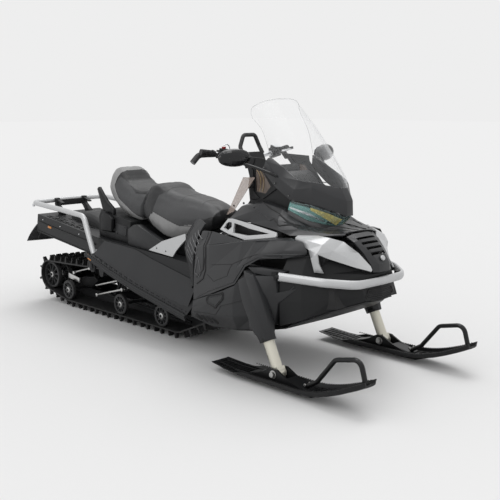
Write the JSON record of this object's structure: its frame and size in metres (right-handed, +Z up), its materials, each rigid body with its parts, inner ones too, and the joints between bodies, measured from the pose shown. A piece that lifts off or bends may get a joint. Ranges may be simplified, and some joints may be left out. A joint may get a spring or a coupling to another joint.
{
  "type": "utility snowmobile",
  "caption": "Two-seat utility snowmobile on a wide rubber track with steerable skis, tall windshield, side mirrors and a rear cargo rack.",
  "frame": {"origin": "under the middle of the bounding box, on the floor", "axes": "+X towards the ski tips, +Y to the rider's left, +Z up"},
  "size_m": [3.302, 1.065, 1.4756],
  "materials": {
    "black_plastic": "satin moulded",
    "charcoal_panel": "satin",
    "dark_coating": "semi-matte powder coat",
    "silver_paint": "satin metallic",
    "silver_plastic": "satin metallic paint",
    "champagne_metal": "brushed anodised",
    "bare_aluminium": "satin",
    "black_rubber": "matte",
    "seat_vinyl": "grained vinyl",
    "clear_screen": "clear",
    "tinted_screen": "tinted",
    "lamp_lens": "clear tinted",
    "ski_plastic": "satin",
    "cast_dark": "as cast"
  },
  "bodies": {
    "chassis": {"tunnel": "dark_coating", "running_boards": "dark_coating", "rear_rack": "silver_paint", "tail_light": "black_plastic", "snow_flap": "black_rubber", "tow_hitch": "dark_coating", "cargo_cover": "black_plastic", "driver_seat": "seat_vinyl", "passenger_seat": "seat_vinyl", "grab_handles": "black_plastic", "seat_box": "black_plastic", "seat_wedges": "black_plastic", "brace_plates": "bare_aluminium", "side_panel_right": "charcoal_panel", "side_panel_left": "charcoal_panel", "lower_panel_right": "charcoal_panel", "lower_panel_left": "charcoal_panel", "knee_pads": "black_plastic", "vent_trims": "silver_plastic", "hood": "charcoal_panel", "nose_grille": "black_plastic", "nose_fairings": "silver_plastic", "headlight_housing": "black_plastic", "headlight_lens": "lamp_lens", "windshield": "clear_screen", "windshield_fairing": "charcoal_panel", "console": "black_plastic", "wind_deflectors": "tinted_screen", "mirrors": "black_plastic", "belly_pan": "black_plastic", "bumper": "silver_paint", "bumper_carriers": "black_plastic", "strut_towers": "dark_coating", "track": "black_rubber", "slide_rails": "dark_coating", "suspension_arms": "dark_coating", "rear_wheels": "black_plastic", "bogie_wheels": "black_plastic", "drive_axle": "dark_coating", "front_frame": "dark_coating", "engine_block": "cast_dark"},
    "handlebar_assembly": {"steering_post": "dark_coating", "handlebar": "bare_aluminium", "hand_grips": "black_rubber", "throttle_block": "black_plastic", "brake_block": "black_plastic", "grab_loop": "black_rubber"},
    "leg_right": {"leg_right": "champagne_metal"},
    "leg_left": {"leg_left": "champagne_metal"},
    "ski_right": {"ski_right": "ski_plastic", "ski_loop_right": "ski_plastic"},
    "ski_left": {"ski_left": "ski_plastic", "ski_loop_left": "ski_plastic"}
  },
  "joints": [
    {"name": "handlebar_steer", "type": "hinge", "parent": "chassis", "child": "handlebar_assembly", "pos_m": [0.709, 0, 0.56], "axis": [-0.4384, 0, 0.8988], "range_deg": [-36, 36]},
    {"name": "ski_right_steer", "type": "hinge", "parent": "chassis", "child": "leg_right", "pos_m": [1.061, -0.45, 0.074], "axis": [-0.4305, 0, 0.9026], "range_deg": [-30, 30]},
    {"name": "ski_right_rock", "type": "hinge", "parent": "leg_right", "child": "ski_right", "pos_m": [1.061, -0.45, 0.074], "axis": [0, 1, 0], "range_deg": [-20, 14]},
    {"name": "ski_left_steer", "type": "hinge", "parent": "chassis", "child": "leg_left", "pos_m": [1.061, 0.45, 0.074], "axis": [-0.4305, 0, 0.9026], "range_deg": [-30, 30]},
    {"name": "ski_left_rock", "type": "hinge", "parent": "leg_left", "child": "ski_left", "pos_m": [1.061, 0.45, 0.074], "axis": [0, 1, 0], "range_deg": [-20, 14]}
  ],
  "couplings": [
    {"joint": "ski_right_steer", "follows": "handlebar_steer", "ratio": 0.8333},
    {"joint": "ski_left_steer", "follows": "handlebar_steer", "ratio": 0.8333}
  ]
}
